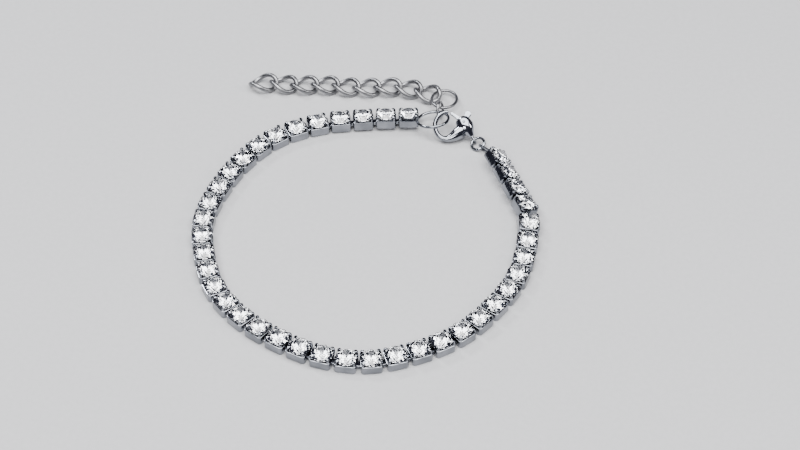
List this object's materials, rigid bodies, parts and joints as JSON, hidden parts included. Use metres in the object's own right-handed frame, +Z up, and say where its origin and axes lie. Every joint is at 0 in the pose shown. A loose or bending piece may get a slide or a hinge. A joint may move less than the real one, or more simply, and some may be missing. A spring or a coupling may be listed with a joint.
{
  "type": "tennis bracelet",
  "caption": "Closed line bracelet of round brilliant stones in square claw cups, with a lobster clasp and a short extension chain, lying flat.",
  "frame": {"origin": "middle of the outline seen from above, on the surface that the bracelet lies on", "axes": "+Z up out of the surface; +Y from the front of the loop towards the clasp and the chain; +X towards the side that the clasp is on"},
  "size_m": [0.0566, 0.0678, 0.0043],
  "materials": {
    "crystal": "polished facets, clear cubic zirconia",
    "polished_steel": "mirror polished steel",
    "satin_steel": "satin steel wire"
  },
  "bodies": {
    "bracelet": {"settings_row_start": "polished_steel", "settings_row_end": "polished_steel", "stone_01": "crystal", "stone_02": "crystal", "stone_03": "crystal", "stone_04": "crystal", "stone_05": "crystal", "stone_06": "crystal", "stone_07": "crystal", "stone_08": "crystal", "stone_09": "crystal", "stone_10": "crystal", "stone_11": "crystal", "stone_12": "crystal", "stone_13": "crystal", "stone_14": "crystal", "stone_15": "crystal", "stone_16": "crystal", "stone_17": "crystal", "stone_18": "crystal", "stone_19": "crystal", "stone_20": "crystal", "stone_21": "crystal", "stone_22": "crystal", "stone_23": "crystal", "stone_24": "crystal", "stone_25": "crystal", "stone_26": "crystal", "stone_27": "crystal", "stone_28": "crystal", "stone_29": "crystal", "stone_30": "crystal", "stone_31": "crystal", "stone_32": "crystal", "stone_33": "crystal", "stone_34": "crystal", "stone_35": "crystal", "stone_36": "crystal", "stone_37": "crystal", "stone_38": "crystal", "stone_39": "crystal", "stone_40": "crystal", "clasp_body": "polished_steel", "tail_ring": "polished_steel", "extension_ring_small": "satin_steel", "extension_ring_large": "satin_steel", "extension_link_1": "satin_steel", "extension_link_2": "satin_steel", "extension_link_3": "satin_steel", "extension_link_4": "satin_steel", "extension_link_5": "satin_steel", "extension_link_6": "satin_steel", "extension_link_7": "satin_steel", "extension_link_8": "satin_steel", "extension_link_9": "satin_steel"},
    "lever": {"clasp_lever": "polished_steel"}
  },
  "joints": [
    {"name": "clasp_lever_pivot", "type": "hinge", "parent": "bracelet", "child": "lever", "pos_m": [0.01623, 0.02014, 0.00269], "axis": [0, 0.6428, -0.766], "range_deg": [0, 25], "stiffness_Nm_per_rad": 0.002, "springref_deg": -17.19}
  ]
}
